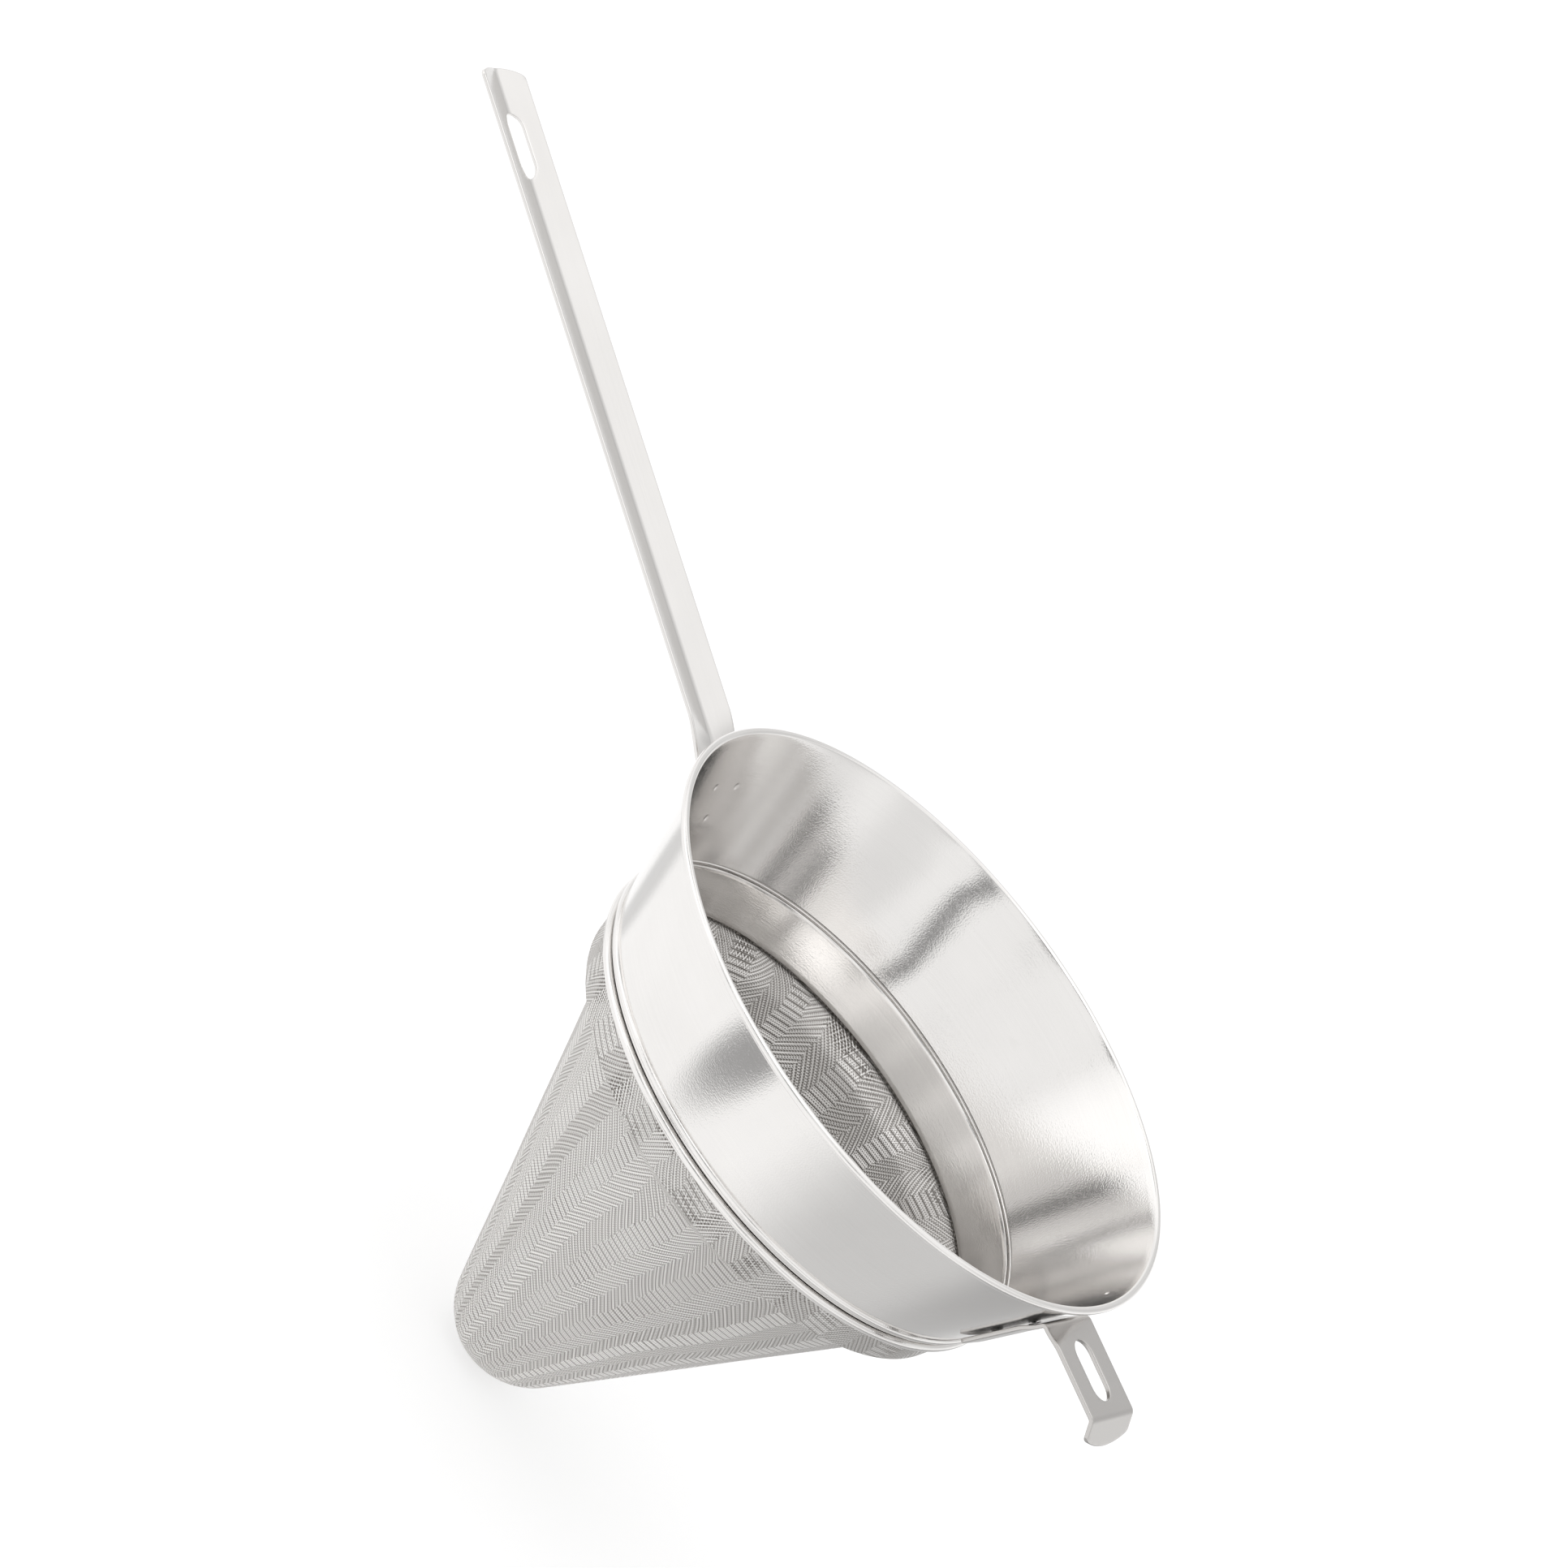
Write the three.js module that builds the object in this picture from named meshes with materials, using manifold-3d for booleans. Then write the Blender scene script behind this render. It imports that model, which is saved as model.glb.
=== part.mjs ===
// Conical bouillon strainer: flared steel collar, wire-mesh cone, trough handle and slotted pot hook.
// Millimetres. +Z runs up the strainer's axis, out of its mouth; z = 0 is the top of the rolled rim.
// The handle points along +X and the pot hook along -X.
import * as THREE from 'three';
import { mergeVertices } from 'three/addons/utils/BufferGeometryUtils.js';
import Module from 'manifold-3d';

const wasm = await Module();
wasm.setup();

// Driving dimensions
const mouthRadius = 130; // outside of the rolled rim
const seamGap = 0.3; // clearance kept between pieces that touch on the real strainer
const turnSegments = 60; // facets round the strainer's axis

const collarSheet = 0.7;
const rimWireRadius = 0.6;
const collarFootRadius = 107.3; // middle of the sheet where the wall meets the foot bead
const collarFootZ = -55.5;
const footBeadRadius = 1.2; // middle of the sheet
const footBeadInset = 0.3; // how far the bead's centre sits inside the foot radius
const footLipLength = 1.1;
const curlEnd = THREE.MathUtils.degToRad(-130); // where the rim's curl stops short of the wall

const bandSheet = 0.6;
const bandTopZ = -58.4;
const bandBottomZ = -78.3;
const bandBottomRadius = 100.5; // inside
const bandTaper = 0.24; // radius gained per millimetre of height

const meshSkin = 0.8;
const meshTopZ = -62;
const meshTurnZ = -79.5; // where the mesh leaves the band
const meshShoulderZ = -87; // where the straight cone begins
const meshShoulderFlare = 1; // how far the shoulder's control point leaves the straight line, each way
const meshHalfAngle = THREE.MathUtils.degToRad(24.6);
const meshTipRadius = 31; // outside
const meshTipZ = -241;

const hoopRadius = 2.1; // half-round section
const hoopCentreZ = -63.4;
const hoopHalfHeight = 1.9;

const handleSheet = 1.5;
const handleWidth = 31;
const handleTrough = 3.6; // height of the edges above the middle of the trough
const handleStartX = 128.5; // a point on the trough's middle line, from which lengths are taken
const handleStartZ = -21.1;
const handleLength = 280; // to the handle's end corners
const handleRise = THREE.MathUtils.degToRad(14.3);
const handleEndBulge = 3.7; // how much longer the handle is in the middle of its end
const handleRootTrim = -3.6; // where the trough begins, along the handle from the start point
const handleBend = 2.4; // bend radius in the middle of the sheet
const handleTongue = 7.2; // how far the foot plate's bent end runs out under the trough
const handleFootLength = 27;
const hangSlotWidth = 12;
const hangSlotLength = 27;
const hangSlotFromEnd = 15.4; // from the end corners to the slot

const hookSheet = 1.8;
const hookWidth = 34;
const hookArmZ = -16; // middle of the sheet where the arm leaves the root plate
const hookArmLength = 39;
const hookArmDroop = THREE.MathUtils.degToRad(6.5);
const hookBend = 2.6; // bend radius in the middle of the sheet
const hookFootLength = 37;
const hookLipLean = THREE.MathUtils.degToRad(36); // outwards from straight down
const hookLipEdge = 8; // length of the lip along its sides
const hookLipBulge = 3.7; // how much longer the lip is in the middle
const hookSlotWidth = 12;
const hookSlotLength = 25;
const hookSlotFromRoot = 8.3;

const weldRadius = 2.4;
const weldThickness = 0.5;
const handleWelds = [[-24, 8], [-24, -8], [-38, 0]]; // z and y of each nugget's centre
const hookWelds = [[-28, 0], [-43, 0]];
const cutReach = 60; // half-length of cutting prisms

// Wall of the collar: the middle of its sheet, from the rolled rim down to the foot
const rollOuterRadius = rimWireRadius + seamGap + collarSheet;
const rollMidRadius = rollOuterRadius - collarSheet / 2;
const rollCentre = new THREE.Vector2(mouthRadius - rollOuterRadius, -rollOuterRadius);
const wallTaper = Math.atan2(rollCentre.x - rollMidRadius - collarFootRadius, rollCentre.y - collarFootZ);
const plateStandoff = weldThickness + 2 * seamGap; // between the collar and a plate welded to it

function steel(tone = 0xcfccc8, roughness = 0.34) {
  return new THREE.MeshStandardMaterial({ color: tone, metalness: 0.95, roughness });
}

function wallRadius(z) {
  return collarFootRadius + (z - collarFootZ) * Math.tan(wallTaper);
}

// Radius of the face that lies a given distance outside the middle of the collar's sheet
function offWallRadius(z, offset) {
  return wallRadius(z) + offset / Math.cos(wallTaper);
}

function bandRadius(z, offset) {
  return bandBottomRadius + (z - bandBottomZ) * bandTaper + offset * Math.hypot(1, bandTaper);
}

// Points of an arc, both ends included; angles in radians from the first axis towards the second
function arcPoints(centreA, centreB, radius, from, to, steps) {
  return Array.from({ length: steps + 1 }, (_, i) => {
    const angle = from + ((to - from) * i) / steps;
    return new THREE.Vector2(centreA + radius * Math.cos(angle), centreB + radius * Math.sin(angle));
  });
}

// The two faces of a sheet of even thickness that follows a middle line
function sheetFaces(line, thickness) {
  const left = [];
  const right = [];
  line.forEach((point, i) => {
    const before = line[Math.max(i - 1, 0)];
    const after = line[Math.min(i + 1, line.length - 1)];
    const along = after.clone().sub(before).normalize();
    const side = new THREE.Vector2(-along.y, along.x).multiplyScalar(thickness / 2);
    left.push(point.clone().add(side));
    right.push(point.clone().sub(side));
  });
  return { left, right };
}

function sheetOutline(line, thickness) {
  const { left, right } = sheetFaces(line, thickness);
  return [...left, ...right.reverse()];
}

function signedArea(outline) {
  return outline.reduce((sum, p, i) => {
    const q = outline[(i + 1) % outline.length];
    return sum + (p.x * q.y - q.x * p.y) / 2;
  }, 0);
}

// Turns an r-z outline about +Z. An outline that starts and ends on the axis stays open there.
function turned(outline) {
  const loop = signedArea(outline) > 0 ? [...outline] : [...outline].reverse();
  if (loop[0].x > 0) loop.push(loop[0].clone());
  const geometry = new THREE.LatheGeometry(loop, turnSegments);
  geometry.rotateX(Math.PI / 2);
  return geometry;
}

function toManifold(source) {
  const bare = source.clone();
  bare.deleteAttribute('normal');
  bare.deleteAttribute('uv');
  const merged = mergeVertices(bare, 1e-4);
  return new wasm.Manifold(
    new wasm.Mesh({
      numProp: 3,
      vertProperties: Float32Array.from(merged.attributes.position.array),
      triVerts: Uint32Array.from(merged.index.array),
    }),
  );
}

function fromManifold(solid) {
  const data = solid.getMesh();
  const geometry = new THREE.BufferGeometry();
  geometry.setAttribute('position', new THREE.BufferAttribute(Float32Array.from(data.vertProperties), 3));
  geometry.setIndex(new THREE.BufferAttribute(Uint32Array.from(data.triVerts), 1));
  geometry.computeVertexNormals();
  return geometry;
}

// An outline extruded along a direction. The outline's axes are first and second; the extrusion runs
// along first x second, from start, over the given depth.
function prism(outline, depth, first, second, start = new THREE.Vector3()) {
  const geometry = new THREE.ExtrudeGeometry(new THREE.Shape(outline), { depth, bevelEnabled: false });
  const third = first.clone().cross(second);
  geometry.applyMatrix4(new THREE.Matrix4().makeBasis(first, second, third).setPosition(start));
  return toManifold(geometry);
}

// Outline of a slot with round ends, lying along the first axis from one end to the other
function slotOutline(from, length, width) {
  const radius = width / 2;
  const quarter = Math.PI / 2;
  return [
    ...arcPoints(from + length - radius, 0, radius, -quarter, quarter, 8),
    ...arcPoints(from + radius, 0, radius, quarter, 3 * quarter, 8),
  ];
}

// Outline of a strip that starts square and ends in a shallow arc
function stripOutline(from, to, width, bulge) {
  const half = width / 2;
  const radius = (half * half + bulge * bulge) / (2 * bulge);
  const spread = Math.asin(half / radius);
  return [
    new THREE.Vector2(from, -half),
    ...arcPoints(to + bulge - radius, 0, radius, -spread, spread, 10),
    new THREE.Vector2(from, half),
  ];
}

// Middle line of a strip bent once between two directions, as points in the x-z plane
function bentLine(corner, toStart, toEnd, startLength, endLength, radius) {
  const turn = Math.acos(toStart.dot(toEnd));
  const setback = radius / Math.tan(turn / 2);
  const centre = corner.clone().add(
    toStart.clone().add(toEnd).normalize().multiplyScalar(radius / Math.sin(turn / 2)),
  );
  const first = corner.clone().add(toStart.clone().multiplyScalar(setback)).sub(centre).angle();
  const last = corner.clone().add(toEnd.clone().multiplyScalar(setback)).sub(centre).angle();
  const sweep = THREE.MathUtils.euclideanModulo(last - first + Math.PI, 2 * Math.PI) - Math.PI;
  return [
    corner.clone().add(toStart.clone().multiplyScalar(startLength)),
    ...arcPoints(centre.x, centre.y, radius, first, first + sweep, 4),
    corner.clone().add(toEnd.clone().multiplyScalar(endLength)),
  ];
}

function named(name, geometry, material) {
  const mesh = new THREE.Mesh(geometry, material);
  mesh.name = name;
  return mesh;
}

// The collar's sheet: foot lip, foot bead, flared wall, then the curl round the rim wire
function collar() {
  const quarter = Math.PI / 2;
  const beadR = collarFootRadius - footBeadInset;
  const bead = arcPoints(beadR, collarFootZ - 2 * footBeadRadius, footBeadRadius, -quarter, quarter, 4);
  const lip = bead[0].clone().add(new THREE.Vector2(-footLipLength * bandTaper, -footLipLength));
  const curl = arcPoints(rollCentre.x, rollCentre.y, rollMidRadius, Math.PI - wallTaper, curlEnd, 10);
  return named('collar', turned(sheetOutline([lip, ...bead, ...curl], collarSheet)), steel());
}

function rimWire() {
  const section = arcPoints(rollCentre.x, rollCentre.y, rimWireRadius, 0, 2 * Math.PI, 6).slice(0, -1);
  return named('rim_wire', turned(section), steel(0xb9b6b1, 0.42));
}

function innerBand() {
  const line = [bandTopZ, bandBottomZ].map((z) => new THREE.Vector2(bandRadius(z, bandSheet / 2), z));
  return named('inner_band', turned(sheetOutline(line, bandSheet)), steel(0xc4c0bb));
}

// Half-round hoop outside the mesh edge; its flat back follows the band's taper
function clampHoop() {
  const meshOutside = bandSheet + 2 * seamGap + meshSkin;
  const back = [-hoopHalfHeight, hoopHalfHeight].map(
    (dz) => new THREE.Vector2(bandRadius(hoopCentreZ + dz, meshOutside), hoopCentreZ + dz),
  );
  const spread = Math.asin(hoopHalfHeight / hoopRadius);
  const centreR = bandRadius(hoopCentreZ, meshOutside);
  const front = arcPoints(centreR, hoopCentreZ, hoopRadius, -spread, spread, 5);
  return named('clamp_hoop', turned([back[0], ...front, back[1]]), steel());
}

// Mesh skin: clamped edge over the band, shoulder under the band, straight cone, round tip
function meshCone() {
  const meshMiddle = bandSheet + seamGap + meshSkin / 2;
  const edge = [meshTopZ, meshTurnZ].map((z) => new THREE.Vector2(bandRadius(z, meshMiddle), z));
  const tipRadius = meshTipRadius - meshSkin / 2;
  const tipCentreZ = meshTipZ + meshTipRadius;
  const tip = arcPoints(0, tipCentreZ, tipRadius, -meshHalfAngle, -Math.PI / 2, 6);
  const coneTop = new THREE.Vector2(
    tip[0].x + (meshShoulderZ - tip[0].y) * Math.tan(meshHalfAngle),
    meshShoulderZ,
  );
  const flare = new THREE.Vector2(-meshShoulderFlare, meshShoulderFlare);
  const bulge = edge[1].clone().lerp(coneTop, 0.5).add(flare);
  const shoulder = new THREE.QuadraticBezierCurve(edge[1], bulge, coneTop).getPoints(4);
  const middleOfCone = coneTop.clone().lerp(tip[0], 0.5);
  const { left, right } = sheetFaces([edge[0], ...shoulder, middleOfCone, ...tip], meshSkin);
  left[left.length - 1].x = 0;
  right[right.length - 1].x = 0;
  return named('mesh_cone', turned([...right.reverse(), ...left]), steel(0xb8b5b0, 0.5));
}

// Long strip pressed into a shallow trough, with a flat foot plate bent down along the collar
function handle() {
  const across = new THREE.Vector3(0, 1, 0);
  const along = new THREE.Vector3(Math.cos(handleRise), 0, Math.sin(handleRise));
  const up = along.clone().cross(across);
  const start = new THREE.Vector3(handleStartX, 0, handleStartZ);
  const half = handleWidth / 2;
  const troughRadius = (half * half + handleTrough * handleTrough) / (2 * handleTrough);
  const spread = Math.asin(half / troughRadius);
  const downwards = -Math.PI / 2;
  const top = arcPoints(0, troughRadius, troughRadius, downwards - spread, downwards + spread, 8);
  const bottom = arcPoints(
    0, troughRadius, troughRadius + handleSheet, downwards + spread, downwards - spread, 8,
  );
  const origin = start.clone().addScaledVector(along, handleRootTrim);
  const fullLength = handleLength + handleEndBulge - handleRootTrim;
  const trough = prism([...top, ...bottom], fullLength, across, up, origin);
  const planStart = start.clone().addScaledVector(up, -cutReach / 2);
  const plan = (outline) => prism(outline, cutReach, along, across, planStart);
  const blank = plan(stripOutline(handleRootTrim, handleLength, handleWidth, handleEndBulge));
  const slotStart = handleLength - hangSlotFromEnd - hangSlotLength;
  const slot = plan(slotOutline(slotStart, hangSlotLength, hangSlotWidth));
  return named(
    'handle',
    fromManifold(trough.intersect(blank).subtract(slot).add(handleFoot(start, along, up))),
    steel(0xd2cfcb, 0.28),
  );
}

// Foot plate of the handle: stands off the wall, then bends outwards under the trough
function handleFoot(start, along, up) {
  const toTip = new THREE.Vector2(along.x, along.z);
  const sheetMiddle = new THREE.Vector2(up.x, up.z).multiplyScalar(-handleSheet / 2);
  const onStrip = new THREE.Vector2(start.x, start.z).add(sheetMiddle);
  const downWall = new THREE.Vector2(-Math.sin(wallTaper), -Math.cos(wallTaper));
  const offset = collarSheet / 2 + plateStandoff + handleSheet / 2;
  const wallPoint = new THREE.Vector2(offWallRadius(onStrip.y, offset), onStrip.y);
  const corner = crossing(onStrip, toTip, wallPoint, downWall);
  const line = bentLine(corner, downWall, toTip, handleFootLength, handleTongue, handleBend);
  return crosswisePrism(sheetOutline(line, handleSheet), handleWidth);
}

// Pot hook: root plate down the wall, slotted arm outwards, lip turned down with a rounded end.
// It is drawn on the +X side and turned to the far side of the mouth.
function potHook() {
  const armDirection = new THREE.Vector2(Math.cos(hookArmDroop), -Math.sin(hookArmDroop));
  const downWall = new THREE.Vector2(-Math.sin(wallTaper), -Math.cos(wallTaper));
  const lipDirection = new THREE.Vector2(Math.sin(hookLipLean), -Math.cos(hookLipLean));
  const offset = collarSheet / 2 + plateStandoff + hookSheet / 2;
  const corner = new THREE.Vector2(offWallRadius(hookArmZ, offset), hookArmZ);
  const lipCorner = corner.clone().add(armDirection.clone().multiplyScalar(hookArmLength));
  const lipLength = hookLipEdge + hookLipBulge;
  const toRoot = armDirection.clone().negate();
  const root = bentLine(corner, downWall, armDirection, hookFootLength, hookArmLength / 2, hookBend);
  const lip = bentLine(lipCorner, toRoot, lipDirection, hookArmLength / 2, lipLength, hookBend);
  const line = [...root, ...lip.slice(1)];
  const strip = crosswisePrism(sheetOutline(line, hookSheet), hookWidth);

  const across = new THREE.Vector3(0, 1, 0);
  const plan = (outline, at, direction) => {
    const along = new THREE.Vector3(direction.x, 0, direction.y);
    const up = along.clone().cross(across);
    const start = new THREE.Vector3(at.x, 0, at.y).addScaledVector(up, -cutReach / 2);
    return prism(outline, cutReach, along, across, start);
  };
  const slot = plan(slotOutline(hookSlotFromRoot, hookSlotLength, hookSlotWidth), corner, armDirection);
  const blankReach = hookArmLength + hookFootLength;
  const lipBlank = plan(
    stripOutline(-blankReach, hookLipEdge, hookWidth, hookLipBulge), lipCorner, lipDirection,
  );
  const rootKeep = crosswisePrism(
    [
      new THREE.Vector2(0, -cutReach * 2),
      new THREE.Vector2(lipCorner.x - hookBend, -cutReach * 2),
      new THREE.Vector2(lipCorner.x - hookBend, cutReach),
      new THREE.Vector2(0, cutReach),
    ],
    2 * hookWidth,
  );
  const solid = strip.subtract(slot);
  const geometry = fromManifold(solid.intersect(rootKeep).add(solid.intersect(lipBlank)));
  geometry.rotateZ(Math.PI);
  return named('pot_hook', geometry, steel(0xcac7c3, 0.3));
}

// Where two lines in a plane meet
function crossing(pointA, directionA, pointB, directionB) {
  const gap = pointB.clone().sub(pointA);
  const scale = gap.cross(directionB) / directionA.cross(directionB);
  return pointA.clone().add(directionA.clone().multiplyScalar(scale));
}

// An outline in the x-z plane extruded evenly to both sides of y = 0
function crosswisePrism(outline, width) {
  const flipped = outline.map((point) => new THREE.Vector2(point.y, point.x));
  const up = new THREE.Vector3(0, 0, 1);
  const outwards = new THREE.Vector3(1, 0, 0);
  return prism(flipped, width, up, outwards, new THREE.Vector3(0, -width / 2, 0));
}

// A spot-weld nugget in the gap between the collar and a plate; side is +1 or -1 along X
function spotWeld(name, [z, y], side) {
  const geometry = new THREE.CylinderGeometry(weldRadius, weldRadius, weldThickness, 16);
  geometry.rotateZ(-Math.PI / 2);
  const nugget = named(name, geometry, steel(0xa39f9a, 0.5));
  const middle = collarSheet / 2 + plateStandoff / 2;
  nugget.position.set(side * offWallRadius(z, middle), y, z);
  nugget.rotation.set(0, side * wallTaper, 0);
  return nugget;
}

const strainer = new THREE.Group();
strainer.add(collar(), rimWire(), innerBand(), clampHoop(), meshCone(), handle(), potHook());
handleWelds.forEach((spot, i) => strainer.add(spotWeld(`handle_weld_${i + 1}`, spot, 1)));
hookWelds.forEach((spot, i) => strainer.add(spotWeld(`hook_weld_${i + 1}`, spot, -1)));

export default strainer;
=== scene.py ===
import math

import bpy
import numpy as np
from mathutils import Matrix, Vector, geometry, noise


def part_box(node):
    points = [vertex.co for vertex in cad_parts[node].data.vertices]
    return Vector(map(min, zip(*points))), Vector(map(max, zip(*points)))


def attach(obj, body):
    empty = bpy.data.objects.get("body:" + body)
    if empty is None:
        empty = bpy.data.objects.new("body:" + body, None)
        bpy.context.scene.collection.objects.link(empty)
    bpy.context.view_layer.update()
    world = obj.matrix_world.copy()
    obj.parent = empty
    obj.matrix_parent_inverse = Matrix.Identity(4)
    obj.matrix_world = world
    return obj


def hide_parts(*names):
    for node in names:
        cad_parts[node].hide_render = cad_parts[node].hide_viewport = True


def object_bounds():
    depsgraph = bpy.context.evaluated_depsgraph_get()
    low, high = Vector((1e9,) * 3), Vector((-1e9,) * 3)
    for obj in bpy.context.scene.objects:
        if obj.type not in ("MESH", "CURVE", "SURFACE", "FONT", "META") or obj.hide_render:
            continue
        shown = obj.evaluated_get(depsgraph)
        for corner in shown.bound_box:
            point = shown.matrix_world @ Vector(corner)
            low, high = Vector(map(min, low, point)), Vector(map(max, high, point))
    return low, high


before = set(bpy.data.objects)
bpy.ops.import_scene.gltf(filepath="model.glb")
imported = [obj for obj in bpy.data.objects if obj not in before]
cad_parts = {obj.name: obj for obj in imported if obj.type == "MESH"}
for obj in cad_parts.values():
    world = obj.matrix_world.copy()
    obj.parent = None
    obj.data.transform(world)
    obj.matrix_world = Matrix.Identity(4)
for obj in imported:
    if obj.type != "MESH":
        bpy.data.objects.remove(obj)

cad_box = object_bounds()
MM = 0.001
TAU = 2 * math.pi

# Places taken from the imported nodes
MOUTH_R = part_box("collar")[1][0] / MM
RIM_TOP_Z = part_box("collar")[1][2] / MM
BAND_TOP_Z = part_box("inner_band")[1][2] / MM
BAND_LOW_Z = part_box("inner_band")[0][2] / MM
HOOP_Z = (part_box("clamp_hoop")[0][2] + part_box("clamp_hoop")[1][2]) / 2 / MM
HOOP_OUT_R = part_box("clamp_hoop")[1][0] / MM
MESH_TOP_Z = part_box("mesh_cone")[1][2] / MM
MESH_TIP_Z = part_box("mesh_cone")[0][2] / MM
HANDLE_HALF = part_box("handle")[1][1] / MM
HOOK_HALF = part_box("pot_hook")[1][1] / MM

# Collar, band and mesh
SHEET = 0.7
WIRE_R = 0.6
GAP = 0.3
FOOT_R = 107.3
FOOT_Z = -55.5
BEAD_R = 1.2
BEAD_INSET = 0.3
LIP = 1.1
CURL_END = math.radians(-130)
BAND_SHEET = 0.6
BAND_LOW_R = 100.5
BAND_TAPER = 0.24
MESH_SKIN = 0.5
MESH_FIT = 1.3  # middle of the mesh skin outside the band's inner face
MESH_TURN_Z = -79.5
MESH_SHOULDER_Z = -87.0
MESH_ANGLE = math.radians(24.6)
TIP_R = 31.0
ROLL_R = WIRE_R + GAP + SHEET
ROLL_MID = ROLL_R - SHEET / 2
ROLL_C = (MOUTH_R - ROLL_R, RIM_TOP_Z - ROLL_R)
TAPER = math.atan2(ROLL_C[0] - ROLL_MID - FOOT_R, ROLL_C[1] - FOOT_Z)
STANDOFF = 1.1  # from the collar's sheet to a plate welded to it
HOOP_HALF = 1.9
HOOP_BACK = BAND_SHEET + 2 * GAP + 0.8  # room for the band and the mesh behind the hoop
HOOP_BACK_REACH = 1.6  # half-height of the hoop's flat back
ROUND = 320  # facets round the axis
MESH_ROUND = 270
MESH_UNEVEN = 0.45

# Handle and hook
HANDLE_SHEET = 1.5
HANDLE_START = (128.5, -21.1)
HANDLE_RISE = math.radians(14.3)
HANDLE_LEN = 280.0
HANDLE_END_BULGE = 3.7
HANDLE_BEND = 2.4
HANDLE_FOOT = 27.0
HANDLE_EDGE = 0.35  # radius of the rounded edges
HANDLE_CORNERS = (1.6, 3.0)  # at the end and at the foot
TROUGH = 3.6
FOLD_HALF = 2.0  # half-width of the rounded fold along the trough
TROUGH_START = (1, 26)  # where the trough begins and is full, beyond the bend
HANG_SLOT = (12.0, 27.0, 15.4)  # width, length, distance from the end corners
HOOK_SHEET = 1.8
HOOK_ARM_Z = -16.0
HOOK_ARM = 39.0
HOOK_DROOP = math.radians(6.5)
HOOK_BEND = 2.6
HOOK_FOOT = 37.0
HOOK_LEAN = math.radians(36)
HOOK_LIP = 8.0
HOOK_LIP_BULGE = 3.7
HOOK_SLOT = (12.0, 25.0, 8.3)  # width, length, distance from the root corner
HOOK_EDGE = 0.4
HOOK_CORNERS = (1.4, 2.0)
CREASE_REACH = 9.5  # the slanting crease beside the hook's root
CREASE_SLANT = 0.55
CREASE_DEPTH = 0.9
PLATE_HUG = 0.85  # share of the collar's curve that the welded plates follow
PLATE_MARGIN = 0.55  # kept free of inner points along a plate's edges
CORNER_MARGIN = 1.6
WELD_R = 2.4
WELD_T = 0.5
HANDLE_WELDS = ((-24, 8), (-24, -8), (-38, 0))
HOOK_WELDS = ((-28, 0), (-43, 0))


# ---------------------------------------------------------------- mesh helpers
def add_object(name, verts, faces, sharp_angle=40):
    mesh = bpy.data.meshes.new(name)
    mesh.from_pydata([tuple(v) for v in np.asarray(verts) * MM], [], faces)
    mesh.validate()
    mesh.shade_smooth()
    mesh.set_sharp_from_angle(angle=math.radians(sharp_angle))
    obj = bpy.data.objects.new(name, mesh)
    bpy.context.scene.collection.objects.link(obj)
    return obj


def arc(cx, cy, radius, start, end, steps):
    return [
        (cx + radius * math.cos(a), cy + radius * math.sin(a))
        for a in np.linspace(start, end, steps + 1)
    ]


def sheet_loop(line, thickness, end_steps=4):
    """Closed outline of a sheet of even thickness along a middle line, with rounded ends."""
    pts = np.array(line, float)
    tangent = np.gradient(pts, axis=0)
    tangent /= np.linalg.norm(tangent, axis=1)[:, None]
    side = np.stack([-tangent[:, 1], tangent[:, 0]], 1) * thickness / 2

    def cap(i, sign):
        a0 = math.atan2(side[i][1] * sign, side[i][0] * sign)
        return arc(pts[i][0], pts[i][1], thickness / 2, a0, a0 - math.pi, end_steps)[1:-1]

    left, right = pts + side, pts - side
    return [*map(tuple, left), *cap(-1, 1), *map(tuple, right[::-1]), *cap(0, -1)]


def lathe(name, loop, angles, wobble=None):
    """Turns a closed r-z loop about +Z. Points on the axis are merged into poles."""
    area = sum(a[0] * b[1] - b[0] * a[1] for a, b in zip(loop, loop[1:] + loop[:1]))
    loop = loop if area > 0 else loop[::-1]
    on_axis = [r < 1e-6 for r, _ in loop]
    segments = len(angles)
    verts, rows = [], []
    for (r, z), pole in zip(loop, on_axis):
        if pole:
            rows.append([len(verts)] * segments)
            verts.append((0, 0, z))
            continue
        rows.append(list(range(len(verts), len(verts) + segments)))
        for a in angles:
            grow = wobble(a, z) if wobble else 0
            verts.append(((r + grow) * math.cos(a), (r + grow) * math.sin(a), z))
    faces = []
    for i in range(len(loop)):
        j = (i + 1) % len(loop)
        if on_axis[i] and on_axis[j]:
            continue
        for k in range(segments):
            n = (k + 1) % segments
            quad = [rows[i][k], rows[i][n], rows[j][n], rows[j][k]]
            faces.append(list(dict.fromkeys(quad)))
    return add_object(name, verts, faces)


def even_angles(count):
    return np.linspace(0, TAU, count, endpoint=False)


def wall_r(z, offset=0.0):
    return FOOT_R + (z - FOOT_Z) * math.tan(TAPER) + offset / math.cos(TAPER)


def band_r(z, offset=0.0):
    return BAND_LOW_R + (z - BAND_LOW_Z) * BAND_TAPER + offset * math.hypot(1, BAND_TAPER)


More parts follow.
